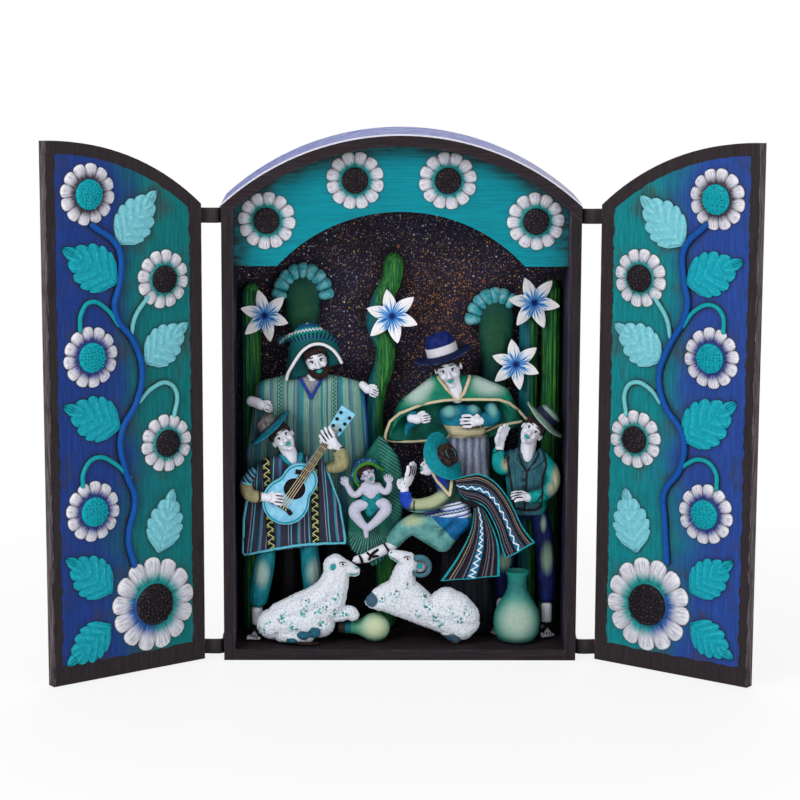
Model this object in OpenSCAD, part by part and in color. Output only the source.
// Retablo box: an arched wooden box with two carved doors on leather straps,
// and a nativity scene of painted paste figures inside.
// X runs to the right, Y to the back and Z up. The origin is the middle of the case's underside.

/* [Case] */
// Width of the case
case_w = 212; // [208:1:226]
// Depth of the case, back panel included
case_d = 63; // [62:1:80]
// Height of the arch where it meets the side walls
side_h = 276; // [272:1:300]
// Rise of the arch above where it meets the side walls
arch_rise = 41; // [38:1:69]
// Thickness of the side walls, base and roof
wall_t = 6.5; // [5:0.5:7]
// Thickness of the back panel
back_t = 4; // [3:0.5:5]
// Thickness of the painted cover on the roof
cover_t = 0.8; // [0.6:0.1:1.2]

/* [Header] */
// Thickness of the header board
header_t = 4; // [3:0.5:5]
// Distance from the case's front to the header board
header_setback = 16; // [15:0.5:18]
// Distance from the ends of the arch down to the header's flat shoulders
header_drop = 38.5; // [36:0.5:42]
// Width of the arched cut-out
cutout_w = 147.5; // [140:0.5:152]
// Rise of the arched cut-out
cutout_rise = 32.5; // [28:0.5:34]
// Distance from the arch's outside to the middle of the header's daisies
header_daisy_inset = 25.5; // [25:0.1:27]

/* [Doors] */
// Thickness of a door
door_t = 6; // [5:0.5:8]
// Gap between the closed doors
door_meeting_gap = 2.6; // [1.5:0.1:4]
// Gap between a closed door and the case
door_gap = 0.3; // [0.2:0.1:0.6]
// Height of a door's lower edge
door_lift = 0.6; // [0.4:0.1:2]
// Angle that the doors stand open, from closed
open_angle = 143; // [120:1:160]
// Distance of the hinge line outside the case's wall
hinge_out = 5.5; // [5:0.1:7]
// Distance of the hinge line behind the case's front
hinge_back = 2.6; // [2:0.1:3.5]
// Height of a leather strap
strap_h = 9; // [7:0.5:12]
// Thickness of a leather strap
strap_t = 1.8; // [1.2:0.1:2.2]
// Height of the upper strap's middle
strap_upper_z = 268.5; // [240:0.5:269]
// Height of the lower strap's middle
strap_lower_z = 6.5; // [6.5:0.5:30]

/* [Relief] */
// Thickness of a daisy's petals
petal_t = 2.6; // [2:0.1:3]
// Height of a daisy's eye above its petals
eye_h = 2.6; // [2:0.1:2.8]
// Thickness of a leaf
leaf_t = 2.2; // [1.6:0.1:3]
// Radius of the vine
vine_r = 1.8; // [1.2:0.1:2.2]
// Radius of the tendrils
tendril_r = 1.2; // [0.8:0.1:1.6]
// Radius of a header daisy
header_daisy_r = 17.3; // [15:0.1:17.6]
// Radius of a header daisy's eye
header_eye_r = 7.9; // [6:0.1:9]

/* [Scene] */
// Radius of a column cactus
cactus_r = 5.8; // [4.5:0.1:6]
// Distance of the outer column cacti from the side walls
cactus_wall_gap = 2.7; // [0.5:0.1:3]
// Depth of a column cactus's grooves
cactus_groove = 0.5; // [0.2:0.1:0.8]
// Radius of a star flower
star_r = 17; // [14:0.5:17]
// Thickness of a star flower's petal
star_t = 1.8; // [1.2:0.1:2.4]
// Radius of the pot's belly
pot_r = 14.5; // [12:0.5:14.5]
// Height of the pot
pot_h = 44; // [36:1:46]
// Radius of the gourd's round end
gourd_r = 9; // [7:0.5:9]
// Depth of the guitar's body
guitar_t = 4.5; // [3:0.5:5]

/* [Hidden] */

$fn = 96;
limb_fn = 8; // facets round a figure's limb
seat = 0.2; // clearance between the moulded pieces

front_y = -case_d / 2;
back_face_y = case_d / 2 - back_t;
wall_d = case_d - back_t;
inner_w = case_w - 2 * wall_t;
drawn_inner_w = 199; // inner width that the scene's places are written for
scene_fit = inner_w / drawn_inner_w; // the scene's figures narrow or widen with the case
apex_h = side_h + arch_rise;
arch_r = (pow(case_w / 2, 2) + pow(arch_rise, 2)) / (2 * arch_rise);
arch_z = apex_h - arch_r;
roof_r = arch_r - cover_t;
ceiling_r = roof_r - wall_t;
shoulder_h = side_h - header_drop;
cutout_r = (pow(cutout_w / 2, 2) + pow(cutout_rise, 2)) / (2 * cutout_rise);
cutout_z = shoulder_h + cutout_rise - cutout_r;
header_y = front_y + header_setback;
header_daisy_ring = arch_r - header_daisy_inset;
header_daisy_angles = [-37.2, -12, 12, 37.2];

hinge_x = case_w / 2 + hinge_out;
hinge_y = front_y + hinge_back;
door_w = (case_w - door_meeting_gap) / 2;

// Relief on the doors: [from the hinge edge, height, radius, eye radius, petals]
left_teal_daisies = [[77.4, 285.8, 18, 8.8, 12], [77, 192, 18, 8.8, 12], [77, 101.5, 18, 8.8, 12]];
left_dark_daisies = [[27.3, 233.6, 17.4, 8.2, 12], [26.2, 136.2, 17.4, 8.2, 12],
    [36.5, 40.2, 28.5, 12.6, 13]];
right_teal_daisies = [[77.7, 284, 18, 8.8, 12], [76.3, 192.3, 18, 8.8, 12], [75, 100.2, 18, 8.8, 12]];
right_dark_daisies = [[27.7, 234.9, 17.4, 8.2, 12], [26.4, 139, 17.4, 8.2, 12],
    [37.4, 40.4, 28.5, 12.6, 13]];
// Leaves: [stalk end, tip], each from the hinge edge and in height
left_teal_leaf_ends = [[[59, 234], [94.5, 256]], [[58.5, 149], [95.5, 165]], [[65.5, 52], [95.5, 76]],
    [[67, 32], [96, 12]]];
left_pale_leaf_ends = [[[57.5, 256.5], [31.5, 285.5]], [[40.5, 185.5], [10.5, 206.5]],
    [[32.5, 71.5], [22, 108]]];
right_teal_leaf_ends = [[[59, 234], [95.5, 250]], [[58.5, 142.5], [93.5, 168]],
    [[66, 52.5], [94, 74.5]], [[67, 33], [95.5, 16.5]]];
right_pale_leaf_ends = [[[56.5, 256.5], [26.5, 283]], [[43, 187.5], [10.5, 206.5]], [[28.5, 71.5], [20, 109]]];
// Vines and tendrils, each a list of points that the stem runs through
left_stem = [[74, 266], [58, 254], [57, 236], [61, 217], [48, 198], [43, 181], [47, 163], [58, 145],
    [55, 122], [49, 106], [54, 82], [50, 67]];
left_tendrils = [[[58, 209], [66, 219], [77, 224], [83, 218], [84, 211]],
    [[50, 202], [47, 213], [39, 222]],
    [[45, 163], [36, 170], [25, 172], [19, 165], [21, 154]],
    [[52, 118], [62, 128], [75, 133], [83, 126], [84, 119]]];
right_stem = [[70, 267], [57, 254], [57, 238], [60, 220], [47, 194], [42, 179], [46, 162], [59, 145],
    [58, 126], [47, 109], [48, 93], [50, 69]];
right_tendrils = [[[57, 209], [65, 219], [76, 223], [83, 218], [84, 211]],
    [[49, 202], [46, 213], [39, 222]],
    [[43, 163], [36, 170], [25, 173], [19, 167], [20, 156]],
    [[52, 118], [61, 128], [73, 132], [81, 126], [82, 118]]];

// Star flowers: [right of the middle, above the floor, turn]
star_spots = [[-82, 197, 15], [-5.2, 197, 12], [81, 205.5, 22], [70.5, 167.5, 10]];
star_y = -2 * cactus_r - 3;
centre_column_path = [[-4, 229], [-5, 219], [-11, 206], [-14.5, 192], [-9, 177], [-9.5, 166], [-14, 152],
    [-16, 132], [-14, 110], [-10, 80], [-8, 40], [-8, 5]];

// A point of a spline through four neighbours
function between(a, b, c, d, t) = 0.5 * (2 * b + (c - a) * t + (2 * a - 5 * b + 4 * c - d) * t * t
    + (3 * b - a - 3 * c + d) * t * t * t);
// A smooth path through the given points
function smooth(p, steps = 2) = [for (i = [0 : len(p) - 2]) for (s = [0 : steps - 1])
    between(p[max(i - 1, 0)], p[i], p[i + 1], p[min(i + 2, len(p) - 1)], s / steps), p[len(p) - 1]];
// The side direction of a flat path at one of its points
function side_of(p, i) = let (d = p[min(i + 1, len(p) - 1)] - p[max(i - 1, 0)]) [-d.y, d.x] / norm(d);
// The outline of a band of even thickness along a flat path
function ribbon(p, t) = concat([for (i = [0 : len(p) - 1]) p[i] + side_of(p, i) * t / 2],
    [for (i = [len(p) - 1 : -1 : 0]) p[i] - side_of(p, i) * t / 2]);

// Case

// The arch's outline at the given radius, down to a lower edge
module arch_shape(r, low, width) {
    intersection() {
        union() {
            translate([0, arch_z]) circle(r = r, $fn = 180);
            translate([-width / 2, 0]) square([width, arch_z]);
        }
        translate([-width / 2, low]) square([width, apex_h]);
    }
}

module standing(y, depth) {
    translate([0, y + depth, 0]) rotate([90, 0, 0]) linear_extrude(depth) children();
}

module back_panel() {
    color("#1d1a2c") standing(back_face_y, back_t) arch_shape(roof_r, 0, case_w);
}

module side_wall() {
    color("#3a3236") standing(front_y, wall_d) intersection() {
        arch_shape(ceiling_r, 0, case_w);
        translate([inner_w / 2, 0]) square([wall_t, apex_h]);
    }
}

module left_side() {
    mirror([1, 0, 0]) side_wall();
}

module right_side() {
    side_wall();
}

module base_board() {
    color("#2f282c") translate([-inner_w / 2, front_y, 0]) cube([inner_w, wall_d, wall_t]);
}

module roof_layer(y, depth, r_out, r_in) {
    standing(y, depth) difference() {
        arch_shape(r_out, arch_z, case_w);
        translate([0, arch_z]) circle(r = r_in, $fn = 180);
    }
}

module arched_roof() {
    color("#3a3236") roof_layer(front_y, wall_d, roof_r, ceiling_r);
}

module roof_cover() {
    color("#8f97c4") roof_layer(front_y, case_d, arch_r, roof_r);
}

// Header

module header_board() {
    color("#0a8284") standing(header_y, header_t) difference() {
        arch_shape(ceiling_r, shoulder_h, inner_w);
        intersection() {
            translate([0, cutout_z]) circle(r = cutout_r);
            translate([-cutout_w / 2, 0]) square([cutout_w, apex_h]);
        }
    }
}

module at_header_daisies() {
    for (a = header_daisy_angles)
        translate([header_daisy_ring * sin(a), header_y, arch_z + header_daisy_ring * cos(a)])
            rotate([90, 0, 0]) children();
}

module header_daisies() {
    color("#d8d8dc") at_header_daisies() petals(header_daisy_r, header_eye_r, 12);
}

module header_eyes() {
    color("#2c262c") at_header_daisies() translate([0, 0, petal_t]) eye(header_eye_r);
}

// Relief, drawn flat with its height along Z

module petals(r, eye_r, count) {
    tip = 0.93;
    notch = 0.84;
    step = 360 / count;
    difference() {
        linear_extrude(petal_t) polygon([for (i = [0 : count - 1])
            for (p = [[notch, 0], [tip, 0.16], [1, 0.36], [0.985, 0.5], [1, 0.64], [tip, 0.84]])
                r * p[0] * [cos((i + p[1]) * step), sin((i + p[1]) * step)]]);
        for (i = [0 : count - 1])
            rotate([0, 0, i * step]) translate([eye_r + 0.5, 0, petal_t]) rotate([45, 0, 0])
                translate([0, -0.6, -0.6]) cube([r, 1.2, 1.2]);
    }
}

module eye(r) {
    ball_r = (r * r + eye_h * eye_h) / (2 * eye_h);
    intersection() {
        translate([0, 0, eye_h - ball_r]) sphere(r = ball_r);
        cylinder(r = r + 1, h = eye_h + 1);
    }
}

module leaf(ends) {
    run = ends[1] - ends[0];
    long = norm(run);
    wide = long * 0.3;
    teeth = 7;
    edge = [for (i = [0 : 2 * teeth]) let (t = i / (2 * teeth))
        [long * t, wide * pow(sin(180 * pow(t, 0.75)), 0.8) * (i % 2 == 0 ? 0.88 : 1.06)]];
    translate(ends[0]) rotate([0, 0, atan2(run.y, run.x)]) difference() {
        linear_extrude(leaf_t) polygon(concat([[-1.5, 0.8], [-1.5, -0.8]],
            [for (p = edge) if (p.y > 0.5) [p.x, -p.y]], [[long, 0]],
            [for (i = [len(edge) - 1 : -1 : 0]) if (edge[i].y > 0.5) edge[i]]));
        translate([2, 0, leaf_t]) rotate([45, 0, 0]) translate([0, -0.5, -0.5]) cube([long * 0.85, 1, 1]);
        for (t = [0.25, 0.45, 0.65], s = [-1, 1])
            translate([long * t, 0, leaf_t]) rotate([0, 0, s * 50]) rotate([45, 0, 0])
                translate([0, -0.35, -0.35]) cube([wide * 0.8, 0.7, 0.7]);
    }
}

module stem(points, r) {
    path = smooth(points);
    for (i = [0 : len(path) - 2])
        hull() for (p = [path[i], path[i + 1]])
            translate([p.x, p.y, r * 0.75]) sphere(r = r, $fn = 5);
}

// Doors, drawn closed: X from the hinge edge, Y into the case, Z up

module door_board() {
    color("#20305c") standing(-door_t, door_t) intersection() {
        translate([case_w / 2, 0]) arch_shape(arch_r, door_lift, case_w);
        square([door_w, apex_h]);
    }
}

// Turns the flat relief onto the door's inner face
module on_door() {
    mirror([0, 1, 0]) rotate([90, 0, 0]) intersection() {
        children();
        cube([2 * door_w, 2 * apex_h, petal_t + eye_h + 1]);
    }
}

module door_daisies(spots) {
    color("#d8d8dc") on_door() for (s = spots) translate([s[0], s[1], 0]) petals(s[2], s[3], s[4]);
}

module door_eyes(spots) {
    on_door() for (s = spots) translate([s[0], s[1], petal_t]) eye(s[3]);
}

module door_leaves(ends) {
    on_door() for (e = ends) leaf(e);
}

module door_vine(main, tendrils, daisies, leaves) {
    color("#12559b") difference() {
        on_door() {
            stem(main, vine_r);
            for (t = tendrils) stem(t, tendril_r);
        }
        on_door() for (d = daisies) translate([d[0], d[1], -1]) cylinder(r = d[2] + seat, h = petal_t + eye_h + 2, $fn = 24);
        on_door() for (e = leaves) leaf_clearance(e);
    }
}

module leaf_clearance(ends) {
    run = ends[1] - ends[0];
    translate([ends[0].x, ends[0].y, -1]) rotate([0, 0, atan2(run.y, run.x)])
        translate([-1.5 - seat, -norm(run) * 0.33, 0]) cube([norm(run), norm(run) * 0.66, leaf_t + 4]);
}

// Carries a closed left door's piece to where the door stands open
module left_hung() {
    translate([-hinge_x, hinge_y, 0]) rotate([0, 0, -open_angle])
        translate([hinge_out, -hinge_back - door_gap, 0]) children();
}

module right_hung() {
    mirror([1, 0, 0]) left_hung() children();
}

module left_door() {
    left_hung() door_board();
}

module left_daisies() {
    left_hung() door_daisies(concat(left_teal_daisies, left_dark_daisies));
}

module left_teal_eyes() {
    color("#1298a6") left_hung() door_eyes(left_teal_daisies);
}

module left_dark_eyes() {
    color("#2c262c") left_hung() door_eyes(left_dark_daisies);
}

module left_teal_leaves() {
    color("#0aa0a8") left_hung() door_leaves(left_teal_leaf_ends);
}

module left_pale_leaves() {
    color("#73c3c6") left_hung() door_leaves(left_pale_leaf_ends);
}

module left_vine() {
    left_hung() door_vine(left_stem, left_tendrils, concat(left_teal_daisies, left_dark_daisies),
        concat(left_teal_leaf_ends, left_pale_leaf_ends));
}

module right_door() {
    right_hung() door_board();
}

module right_daisies() {
    right_hung() door_daisies(concat(right_teal_daisies, right_dark_daisies));
}

module right_teal_eyes() {
    color("#1298a6") right_hung() door_eyes(right_teal_daisies);
}

module right_dark_eyes() {
    color("#2c262c") right_hung() door_eyes(right_dark_daisies);
}

module right_teal_leaves() {
    color("#0aa0a8") right_hung() door_leaves(right_teal_leaf_ends);
}

module right_pale_leaves() {
    color("#73c3c6") right_hung() door_leaves(right_pale_leaf_ends);
}

module right_vine() {
    right_hung() door_vine(right_stem, right_tendrils, concat(right_teal_daisies, right_dark_daisies),
        concat(right_teal_leaf_ends, right_pale_leaf_ends));
}

// Straps, from the wall's outside to the back of the open door

// Where a closed left door's point stands when the door is open
function opened(x, y) = let (p = [hinge_out + x, -hinge_back - door_gap + y])
    [-hinge_x + p.x * cos(open_angle) + p.y * sin(open_angle),
     hinge_y - p.x * sin(open_angle) + p.y * cos(open_angle)];

module strap() {
    skin = strap_t / 2;
    glued = 12;
    wall_x = -case_w / 2 - skin;
    leave_y = front_y + 11;
    bend = 2.2;
    back = -door_t - 0.5 - skin;
    path = [[wall_x, leave_y + glued], [wall_x, leave_y], [wall_x - bend * 0.5, leave_y - bend],
        [wall_x - 2 * bend, leave_y - 1.3 * bend], opened(-1, back), opened(4, back), opened(glued, back)];
    linear_extrude(strap_h, center = true) polygon(ribbon(path, strap_t));
}

module left_straps() {
    color("#241d1f") for (z = [strap_lower_z, strap_upper_z]) translate([0, 0, z]) strap();
}

module right_straps() {
    mirror([1, 0, 0]) left_straps();
}

// Scene: X from the middle, Y from the back panel, Z from the floor

module on_stage() {
    translate([0, back_face_y, wall_t]) scale([scene_fit, 1, 1]) children();
}

// Keeps what is above the floor and in front of the back panel
module on_floor() {
    on_stage() intersection() {
        children();
        translate([-drawn_inner_w / 2, -case_d, 0]) cube([drawn_inner_w, case_d - seat, apex_h]);
    }
}

// A rounded limb through [point, radius] joints
module limb(joints, grow = 0) {
    for (i = [0 : len(joints) - 2])
        mass([joints[i], joints[i + 1]], grow);
}

// One rounded mass over [point, radius] spots
module mass(spots, grow = 0) {
    hull() for (s = spots) translate(s[0]) sphere(r = s[1] + grow, $fn = limb_fn);
}

module ribbed_column(x, h) {
    ribs = 12;
    translate([x, -cactus_r - seat, 0]) {
        linear_extrude(h - cactus_r) polygon([for (a = [0 : 7.5 : 359])
            (cactus_r - cactus_groove * (1 - cos(ribs * a)) / 2) * [cos(a), sin(a)]]);
        translate([0, 0, h - cactus_r]) sphere(r = cactus_r - cactus_groove);
    }
}

module left_column_cactus() {
    color("#1d5a3c") on_stage() ribbed_column((cactus_r + cactus_wall_gap - inner_w / 2) / scene_fit, 216.5);
}

module centre_column_cactus() {
    color("#2a6a35") on_floor() limb([for (p = smooth(centre_column_path, 1))
        [[p.x, -cactus_r - 1, p.y], cactus_r + 0.8]]);
}

module right_column_cacti() {
    color("#1d5a3c") on_stage() {
        ribbed_column((inner_w / 2 - 3 * cactus_r - cactus_wall_gap - 0.7) / scene_fit, 198);
        ribbed_column((inner_w / 2 - cactus_r - cactus_wall_gap + 1.2) / scene_fit, 219.5);
    }
}

module paddle_cactus(top, foot, frill_from, frill_to) {
    head_r = 11.5;
    flat = 0.36;
    bead_r = 3.9;
    beads = round((frill_to - frill_from) / 20) + 1;
    deep = head_r * flat;
    translate([0, -deep - seat, 0]) {
        hull() {
            translate([top.x, 0, top.y]) scale([1, flat, 1.15]) sphere(r = head_r, $fn = 16);
            translate([foot.x, 0, foot.y]) scale([1, 0.6, 1]) sphere(r = 6.5, $fn = 10);
        }
        limb([[[foot.x, 0, foot.y], 4], [[foot.x, 0, 4], 4]]);
        for (i = [0 : beads - 1]) {
            a = frill_from + (frill_to - frill_from) * i / (beads - 1);
            mass([[[top.x + (head_r + 3) * cos(a), -0.5, top.y + (head_r * 1.15 + 3) * sin(a)], bead_r],
                [[top.x + head_r * 0.8 * cos(a), 0, top.y + head_r * 0.8 * sin(a)], bead_r * 0.7]]);
        }
    }
}

module left_paddle_cactus() {
    color("#1b5b45") on_floor() paddle_cactus([-59.5, 209], [-58, 180], 8, 172);
}

module right_paddle_cactus() {
    color("#23613a") on_floor() paddle_cactus([58.5, 194], [57.5, 166], 52, 172);
}

module star_flower() {
    lift = 14;
    bow = star_r * 0.62;
    for (a = [0 : 60 : 300]) rotate([0, 0, a]) rotate([0, -lift, 0]) linear_extrude(star_t)
        intersection() {
            translate([star_r / 2, -bow * 0.42]) circle(r = bow);
            translate([star_r / 2, bow * 0.42]) circle(r = bow);
        }
    translate([0, 0, -0.4]) cylinder(r1 = 2.4, r2 = 1.6, h = 3);
    translate([0, 0, star_y + seat]) cylinder(r = 1, h = -star_y);
}

module star_flowers() {
    color("#e4e4ee") on_stage() for (s = star_spots) translate([s[0], star_y, s[1]]) rotate([90, 0, 0])
        rotate([0, 0, s[2]]) star_flower();
}

// Hats: X right, Y back, Z up from the brim's underside

module brimmed_hat(brim_r, crown_r, crown_h) {
    brim_t = 1.5;
    curl = 1.6;
    rotate_extrude() polygon([[0, 0], [brim_r * 0.75, 0], [brim_r, curl], [brim_r - 0.3, curl + brim_t * 0.8],
        [brim_r * 0.72, brim_t], [crown_r + 0.4, brim_t], [crown_r * 0.92, crown_h * 0.8],
        [crown_r * 0.8, crown_h], [crown_r * 0.35, crown_h * 0.94], [0, crown_h * 0.9]]);
}

// Stands a hat at a place, leaning by lean towards the compass angle turn
module hat_seat(place, lean, turn) {
    translate(place) rotate([0, lean, turn]) children();
}

// The room that a hat takes from what lies behind it
module hat_room(place, lean, turn, brim_r, crown_r, crown_h) {
    hat_seat(place, lean, turn) {
        translate([0, 0, -seat]) cylinder(r = brim_r + 2 * seat, h = 3.8, $fn = 16);
        cylinder(r = crown_r + 3 * seat, h = crown_h + seat, $fn = 12);
    }
}

module under_hat(place, lean, turn) {
    difference() {
        children();
        hat_seat(place, lean, turn) translate([-30, -30, -seat]) cube([60, 60, 40]);
    }
}

// Elder, back left

module elder_poncho_form(grow = 0) {
    mass([[[-82, -22, 153], 6], [[-28, -22, 153], 6], [[-54, -21, 158], 5.5], [[-88, -22, 112], 6.5],
        [[-25, -22, 114], 6.5], [[-84, -21, 62], 6], [[-28, -21, 62], 6]], grow);
}

module elder_skin_form(grow = 0) {
    mass([[[-52, -22, 175], 8], [[-50, -26.5, 167], 5.2]], grow);
    limb([[[-52, -22, 168], 4.8], [[-53, -22, 158], 5]], grow);
}

module elder_hands() {
    limb([[[-92, -27, 145], 3.6], [[-85, -30.5, 145], 3.4], [[-78, -31.5, 143.5], 3]]);
    limb([[[-22, -26, 157], 3], [[-17, -30, 153], 3.2], [[-11.5, -30, 149.5], 3]]);
}

module elder_poncho() {
    color("#5f9d9c") on_floor() difference() {
        elder_poncho_form();
        elder_skin_form(seat);
        hat_room(guitarist_hat_place, guitarist_hat_lean, 180, guitarist_brim_r, guitarist_crown_r, guitarist_crown_h);
    }
}

module elder_trousers() {
    color("#20242f") on_floor() difference() {
        for (x = [-68, -41]) limb([[[x, -19, 62], 6], [[x, -18, 6], 5], [[x, -20, 3], 5]]);
        elder_poncho_form(seat);
    }
}

module elder_skin() {
    color("#e6e2e2") on_floor() {
        elder_skin_form();
        difference() {
            elder_hands();
            elder_poncho_form(seat);
        }
    }
}

module elder_cap() {
    color("#136a6c") on_floor() difference() {
        union() {
            mass([[[-56, -21.5, 179], 12.5], [[-55, -22, 176], 12.5], [[-64, -22, 172], 6]]);
            limb([[[-64, -23, 174], 6], [[-68, -26, 164], 4], [[-70, -27, 157], 3]]);
            limb([[[-44, -23, 174], 5], [[-36.5, -25, 165], 3]]);
        }
        elder_skin_form(seat);
        mass([[[-49, -38, 166], 12.5], [[-51, -30, 160], 9]]);
        elder_poncho_form(seat);
    }
}

// Woman, back right

woman_hat_place = [26.5, -22, 173];
woman_hat_lean = 17;

module woman_cape_form(grow = 0) {
    mass([[[22, -22, 157], 5], [[45, -21, 156], 5.5], [[-2, -22, 126.5], 4], [[71, -20, 133], 3.6],
        [[16, -20, 122], 4.5], [[52, -20, 125], 4.5]], grow);
}

module woman_cape_opening() {
    translate([35, -23, 113]) rotate([90, 0, 0]) cylinder(r = 33.5, h = 20, $fn = 40);
}

module woman_skin_form(grow = 0) {
    mass([[[29.5, -24, 166.5], 7.6], [[31, -26.5, 160.5], 5]], grow);
    limb([[[31, -23.5, 161], 4.2], [[34.5, -24, 151], 4.4]], grow);
}

module woman_dress_form(grow = 0) {
    mass([[[30, -24, 138], 6.5], [[44, -24, 138], 6.5], [[40, -22, 124], 7]], grow);
    mass([[[35, -21.5, 121], 7], [[48, -21.5, 121], 7], [[32, -21, 6], 8], [[50, -21, 6], 8]], grow);
}

module woman_cape() {
    color("#2c8a72") on_floor() difference() {
        woman_cape_form();
        woman_cape_opening();
        woman_skin_form(seat);
        woman_dress_form(seat);
    }
}

module woman_sleeve_form(grow = 0) {
    limb([[[54, -25, 141], 4.5], [[49, -29, 135], 3.8]], grow);
}

module woman_dress() {
    color("#2f7f96") on_floor() {
        difference() {
            woman_dress_form();
            woman_skin_form(seat);
            kneeler_hat_room();
        }
        difference() {
            woman_sleeve_form();
            woman_cape_form(seat);
            woman_dress_form(seat);
        }
    }
}

module woman_skin() {
    color("#e6e2e2") on_floor() {
        under_hat(woman_hat_place, woman_hat_lean, 180) woman_skin_form();
        difference() {
            union() {
                limb([[[24, -28.5, 137], 2.8], [[12, -30, 136], 3.2]]);
                limb([[[46, -32.3, 135.5], 2.8], [[38, -33, 135], 3]]);
            }
            difference() {
                woman_cape_form(seat);
                woman_cape_opening();
            }
            woman_sleeve_form(seat);
            woman_dress_form(seat);
        }
    }
}

module woman_hat() {
    color("#1c2650") on_stage() hat_seat(woman_hat_place, woman_hat_lean, 180) brimmed_hat(18.5, 9.5, 15);
}

// Guitarist, front left

guitarist_hat_place = [-77.5, -37.4, 131.5];
guitarist_hat_lean = 42;
guitarist_brim_r = 16;
guitarist_crown_r = 7;
guitarist_crown_h = 9;

module guitarist_poncho_form(grow = 0) {
    mass([[[-89, -36, 98], 4.5], [[-80, -36, 110], 4.5], [[-48, -36, 109], 4.5], [[-66, -36, 114], 4.5],
        [[-92, -36, 57.5], 4], [[-36.5, -36, 64.5], 4], [[-66, -37, 90], 4.5]], grow);
}

module guitarist_skin_form(grow = 0) {
    mass([[[-72, -38.5, 129], 7.6], [[-69, -41, 124.5], 5]], grow);
    limb([[[-69, -38.5, 124], 4], [[-66, -37, 113], 4.2]], grow);
}

module guitarist_hands_form(grow = 0) {
    limb([[[-83, -45, 91.5], 3], [[-77, -48, 92], 3], [[-71, -48.3, 90.5], 2.6]], grow);
    limb([[[-37.5, -43.5, 122], 2.8], [[-41, -43.5, 127], 3]], grow);
}

module guitarist_sleeves_form(grow = 0) {
    limb([[[-91, -40, 104], 4.4], [[-93, -43, 96], 4.6], [[-85, -45, 91.5], 4]], grow);
    limb([[[-41, -38, 108], 4], [[-34.5, -41, 113], 4.6], [[-37, -43, 120], 3.6]], grow);
}

module guitarist_poncho() {
    color("#3c4a5c") on_floor() difference() {
        guitarist_poncho_form();
        guitarist_skin_form(seat);
        guitarist_sleeves_form(seat);
    }
}

module guitarist_trousers() {
    color("#1b8f92") on_floor() difference() {
        union() {
            limb([[[-80, -34, 60], 6], [[-84, -34, 40], 6.5], [[-86.5, -33, 24], 6]]);
            limb([[[-56, -33, 60], 6], [[-54, -28.5, 40], 6.5], [[-53, -26.5, 20], 6], [[-53, -26.5, 4], 5]]);
        }
        guitarist_poncho_form(seat);
    }
}

module guitarist_skin() {
    color("#e6e2e2") on_floor() {
        under_hat(guitarist_hat_place, guitarist_hat_lean, 180) guitarist_skin_form();
        difference() {
            guitarist_hands_form();
            guitar_form(seat);
            guitarist_sleeves_form(seat);
        }
        difference() {
            limb([[[-87, -33, 18], 3.8], [[-88, -34, 5], 4], [[-89.5, -40, 2.5], 3.6]]);
            limb([[[-84, -34, 40], 6.5 + seat], [[-86.5, -33, 24], 6 + seat]]);
        }
    }
}

module guitarist_hat() {
    color("#1a6f80") on_stage() hat_seat(guitarist_hat_place, guitarist_hat_lean, 180)
        brimmed_hat(guitarist_brim_r, guitarist_crown_r, guitarist_crown_h);
}

// Guitar, drawn flat with its neck along X and its soundboard up
module guitar_form(grow = 0) {
    lower_r = 14;
    upper_r = 10.5;
    body_gap = 15.5;
    neck_l = 36;
    neck_w = 5;
    head_l = 18;
    translate([-69, -42 + grow, 88.5]) rotate([90, 0, 0]) rotate([0, 0, 56])
        linear_extrude(guitar_t + 2 * grow) offset(delta = grow) {
            circle(r = lower_r, $fn = 40);
            translate([body_gap, 0]) circle(r = upper_r, $fn = 36);
            translate([0, -upper_r * 0.82]) square([body_gap, upper_r * 1.64]);
            translate([body_gap, -neck_w / 2]) square([upper_r + neck_l, neck_w]);
            translate([body_gap + upper_r + neck_l - 4, 0]) polygon([[-4, -neck_w / 2], [0, -4.2],
                [head_l, -5], [head_l, 5], [0, 4.2], [-4, neck_w / 2]]);
        }
}

module guitar() {
    color("#7fc4d8") on_stage() difference() {
        guitar_form();
        translate([-69, -42 - guitar_t - 1, 88.5]) rotate([-90, 0, 0]) rotate([0, 0, -56])
            translate([9.5, 0, 0]) cylinder(r = 6.8, h = guitar_t, $fn = 36);
    }
}

// Infant on its cradle leaf, middle

module infant_form(grow = 0) {
    mass([[[-20, -38.5, 105], 5.2], [[-19.5, -39.5, 102], 4]], grow);
    mass([[[-21, -38, 96], 3.6], [[-14, -38, 96], 3.6], [[-17.5, -38, 88], 4.2]], grow);
    limb([[[-22, -38, 97], 2.4], [[-30, -38.5, 92], 2.3], [[-33, -39.5, 99], 2]], grow);
    limb([[[-13, -38, 97], 2.4], [[-6, -38.5, 94], 2.2], [[-5.5, -39.5, 101], 2]], grow);
    limb([[[-20, -38, 86], 3.6], [[-28, -41, 79], 3.4], [[-21, -42, 68], 2.4]], grow);
    limb([[[-15, -38, 86], 3.6], [[-8, -41, 83.5], 3.4], [[-19, -42, 70], 2.4]], grow);
}

module infant_skin() {
    color("#d3cfdc") on_stage() infant_form();
}

module infant_cap_form(grow = 0) {
    mass([[[-22.5, -37.5, 107.5], 7], [[-25, -37.5, 103], 5]], grow);
    limb([[[-27, -38, 103], 3], [[-25.5, -38.5, 96.5], 1.8]], grow);
}

module infant_cap() {
    color("#2c7a3e") on_stage() difference() {
        infant_cap_form();
        infant_form(seat);
        mass([[[-17, -44, 101], 7.5], [[-19, -42, 99], 6]]);
    }
}

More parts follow.
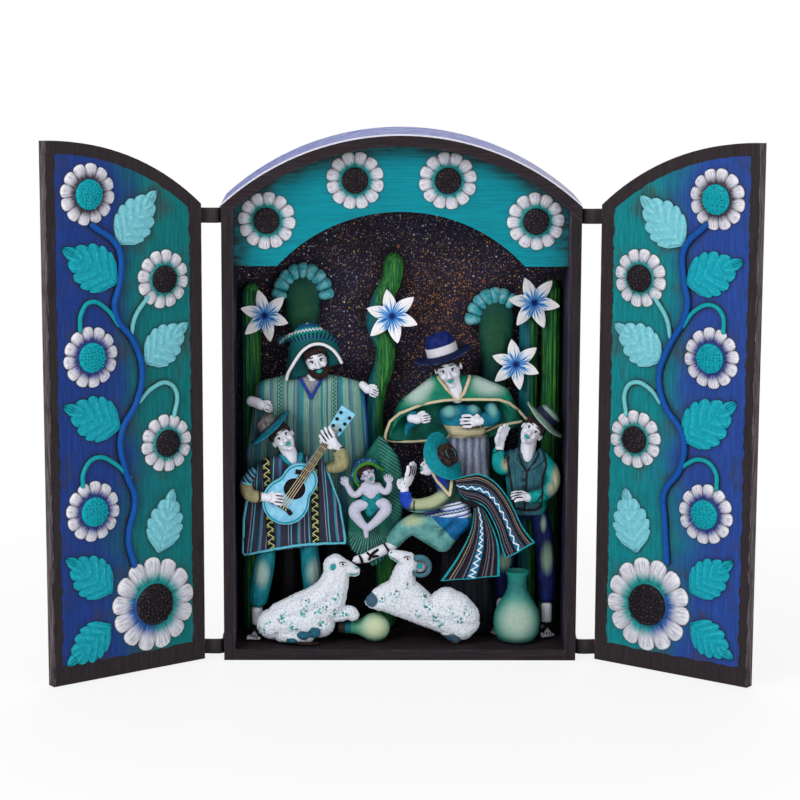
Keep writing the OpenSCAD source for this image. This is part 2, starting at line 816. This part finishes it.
module cradle_leaf() {
    color("#1f6f58") on_stage() difference() {
        union() {
            mass([[[-12, -31.5, 124], 2.4], [[-25, -32, 104], 3], [[0, -32, 100], 3], [[-30, -32, 66], 3],
                [[-16, -33, 50], 2.6], [[-2, -32, 62], 3]]);
            mass([[[-30, -34, 66], 3], [[-28, -38, 58], 2.4], [[-16, -38, 48], 2.4], [[-2, -37, 60], 3],
                [[-4, -34, 66], 3]]);
        }
        infant_form(seat);
        infant_cap_form(seat);
        kneeler_clothes_form(seat);
        kneeler_foot_form(seat);
    }
}

// Kneeler, front middle

kneeler_hat_place = [25.5, -37.5, 114];
kneeler_hat_lean = 59;
kneeler_hat_turn = -35;
kneeler_brim_r = 16.5;
kneeler_crown_r = 7;
kneeler_crown_h = 7;

module kneeler_clothes_form(grow = 0) {
    mass([[[27, -37, 101], 6.5], [[36, -36, 96], 6], [[36, -36, 80], 7.5]], grow);
    limb([[[32, -39, 98], 5], [[24, -42, 90], 4.8], [[7, -42.5, 86], 4.2], [[3.5, -42.5, 91], 4]], grow);
    limb([[[36, -36, 76], 7.5], [[9.5, -36.5, 73], 6.6], [[-4, -35.5, 62], 5.4]], grow);
    limb([[[38, -36, 76], 7.5], [[26, -36, 60], 6.6]], grow);
}

module kneeler_head_form(grow = 0) {
    mass([[[20, -37.5, 112], 6.5], [[16, -39, 108], 4]], grow);
    limb([[[21, -37.5, 110], 4], [[26, -37, 101], 4]], grow);
}

module kneeler_hat_room() {
    hat_room(kneeler_hat_place, kneeler_hat_lean, kneeler_hat_turn, kneeler_brim_r, kneeler_crown_r, kneeler_crown_h);
}

module kneeler_foot_form(grow = 0) {
    limb([[[-6, -35.5, 59.5], 3.8], [[-16, -36, 54.5], 3.4], [[-27, -36.5, 50.5], 2.7]], grow);
}

module kneeler_clothes() {
    color("#4a9a94") on_floor() difference() {
        kneeler_clothes_form();
        kneeler_head_form(seat);
        kneeler_hat_room();
        infant_form(seat);
    }
}

module kneeler_skin() {
    color("#e6e2e2") on_floor() {
        under_hat(kneeler_hat_place, kneeler_hat_lean, kneeler_hat_turn) kneeler_head_form();
        difference() {
            union() {
                limb([[[2.5, -42.5, 95], 2.8], [[1.5, -42.5, 101], 3], [[4, -43, 111], 1.8]]);
                kneeler_foot_form();
            }
            kneeler_clothes_form(seat);
            infant_form(seat);
        }
    }
}

module kneeler_hat() {
    color("#138a94") on_stage() hat_seat(kneeler_hat_place, kneeler_hat_lean, kneeler_hat_turn)
        brimmed_hat(kneeler_brim_r, kneeler_crown_r, kneeler_crown_h);
}

module shawl_panel(top, middle, low) {
    hull() for (p = concat(top, middle)) translate(p) sphere(r = 1.2, $fn = 6);
    hull() for (p = concat(middle, low)) translate(p) sphere(r = 1.2, $fn = 6);
}

module kneeler_shawl() {
    color("#2a2c38") on_floor() difference() {
        union() {
            shawl_panel([[32, -43, 101], [41, -40.5, 93]], [[46, -46, 90], [58, -42, 92]],
                [[60, -46, 74], [69, -42, 82]]);
            shawl_panel([[60, -46, 74], [69, -42, 82]], [[62, -46, 60], [76, -43, 70]],
                [[63, -46, 54], [81, -44, 63]]);
            shawl_panel([[40, -43.5, 84], [46, -41, 86]], [[34, -45, 66], [50, -43, 68]],
                [[24, -46, 39], [52, -44, 36]]);
        }
        kneeler_clothes_form(seat);
        kneeler_hat_room();
    }
}

// Person in a vest, right

vest_man_hat_place = [86.5, -29, 135];
vest_man_hat_lean = 45;

module vest_man_clothes_form(grow = 0) {
    mass([[[68, -28, 112], 5.5], [[85, -28, 112], 5.5], [[72, -27, 80], 6], [[84, -27, 80], 6]], grow);
    limb([[[67, -29, 112], 4.2], [[61, -33, 104], 4.2], [[59.5, -35, 117], 3.4]], grow);
    limb([[[87, -29, 111], 4.4], [[93, -31, 97], 4.4], [[79, -38, 89.5], 3.6]], grow);
}

module vest_man_skin_form(grow = 0) {
    mass([[[81.5, -30, 132], 7.4], [[79.5, -33, 127], 5]], grow);
    limb([[[80, -30.5, 127], 4], [[77.5, -29, 116], 4.2]], grow);
}

module vest_man_clothes() {
    color("#2f7d86") on_floor() difference() {
        vest_man_clothes_form();
        vest_man_skin_form(seat);
    }
}

module vest_man_trousers() {
    color("#1c2a5e") on_floor() difference() {
        union() {
            limb([[[84, -26, 78], 6.5], [[89.5, -26, 50], 6], [[90.5, -24, 24], 5.6]]);
            limb([[[71, -24, 78], 6], [[65.5, -19, 50], 5], [[64, -16.5, 26], 4.6]]);
        }
        vest_man_clothes_form(seat);
        woman_dress_form(seat);
    }
}

module vest_man_skin() {
    color("#e6e2e2") on_floor() {
        under_hat(vest_man_hat_place, vest_man_hat_lean, 0) vest_man_skin_form();
        difference() {
            union() {
                limb([[[60, -35.5, 121], 2.8], [[61, -36, 127], 2.8], [[63, -37, 134], 1.6]]);
                limb([[[77, -39, 89.5], 3], [[70, -41.5, 92.5], 2.4]]);
                limb([[[90.5, -24, 18], 3.8], [[90.5, -25, 5], 4], [[90.5, -31, 2.5], 3.6]]);
                limb([[[63, -16.5, 18], 3.8], [[62, -17, 5], 4], [[57.5, -24, 2.5], 3.4]]);
            }
            vest_man_clothes_form(seat);
            limb([[[89.5, -26, 50], 6 + seat], [[90.5, -24, 24], 5.6 + seat]]);
            limb([[[65.5, -19, 50], 5 + seat], [[64, -16.5, 26], 4.6 + seat]]);
            woman_dress_form(seat);
        }
    }
}

module vest_man_hat() {
    color("#9fc4b4") on_stage() hat_seat(vest_man_hat_place, vest_man_hat_lean, 0) brimmed_hat(15.5, 8, 9);
}

// Animals and vessels

module ewe() {
    color("#e8e8ea") on_floor() {
        mass([[[-76, -43, 12], 9.5], [[-56, -43, 15], 9.5], [[-48, -43, 12], 9]]);
        limb([[[-48, -43, 18], 8.5], [[-38.5, -43, 34], 7.5], [[-37, -43, 47], 7], [[-27, -43.5, 45], 3.6]]);
        limb([[[-44, -44, 18], 6], [[-29, -45, 19.5], 4.4]]);
        limb([[[-70, -46, 6], 5], [[-56, -46, 4], 4]]);
        limb([[[-43, -38, 48], 1.6], [[-43.5, -34, 46], 1.8]]);
    }
}

module ram() {
    horn_r = 5.2;
    color("#e8e8ea") on_floor() {
        mass([[[-9, -44, 27], 7], [[14, -44, 25], 7.8], [[36, -44, 16], 7.8], [[38, -44, 9], 7.8]]);
        limb([[[-8, -44, 32], 7], [[3, -45, 46], 6.2], [[5.5, -46.5, 53], 5.4], [[-4, -47.5, 56.5], 3.2]]);
        limb([[[-6, -45, 27], 5], [[-17, -45, 25], 3.4]]);
        limb([[[30, -44, 10], 6], [[33, -45, 3.5], 4.4]]);
        limb([for (a = [100 : -40 : -180]) [[12 + horn_r * cos(a), -47.5, 49 + horn_r * sin(a)],
            1.5 + (a + 180) / 400]]);
    }
}

module pot() {
    neck_r = 5.4;
    lip_r = 7;
    foot_r = 6;
    color("#7dbb9d") on_stage() translate([71.5, -51.5 + pot_r, 0]) rotate_extrude() polygon(concat([[0, 0], [foot_r, 0]],
        [for (a = [-50 : 10 : 60]) let (z = pot_h * (0.38 + 0.44 * sin(a)))
            [a < 0 ? foot_r + (pot_r - foot_r) * pow(cos(a * 1.5), 0.6)
                : neck_r + (pot_r - neck_r) * pow(cos(a * 1.5), 1.1), z]],
        [[neck_r, pot_h * 0.84], [lip_r, pot_h], [lip_r - 1.4, pot_h], [lip_r - 2.2, pot_h - 1.5],
         [0, pot_h - 1.5]]));
}

module gourd() {
    neck_l = 15;
    color("#8dbf9a") on_stage() translate([-15, -40, gourd_r]) {
        sphere(r = gourd_r);
        rotate([0, -90, 0]) translate([0, 0, gourd_r * 0.6]) cylinder(r1 = 5.5, r2 = 3.4, h = neck_l);
    }
}

back_panel();
left_side();
right_side();
base_board();
arched_roof();
roof_cover();
header_board();
header_daisies();
header_eyes();
left_door();
left_daisies();
left_teal_eyes();
left_dark_eyes();
left_teal_leaves();
left_pale_leaves();
left_vine();
left_straps();
right_door();
right_daisies();
right_teal_eyes();
right_dark_eyes();
right_teal_leaves();
right_pale_leaves();
right_vine();
right_straps();
left_paddle_cactus();
right_paddle_cactus();
left_column_cactus();
centre_column_cactus();
right_column_cacti();
star_flowers();
elder_poncho();
elder_trousers();
elder_skin();
elder_cap();
woman_cape();
woman_dress();
woman_skin();
woman_hat();
guitarist_poncho();
guitarist_trousers();
guitarist_skin();
guitarist_hat();
guitar();
infant_skin();
infant_cap();
cradle_leaf();
kneeler_clothes();
kneeler_skin();
kneeler_hat();
kneeler_shawl();
vest_man_clothes();
vest_man_trousers();
vest_man_skin();
vest_man_hat();
ewe();
ram();
pot();
gourd();
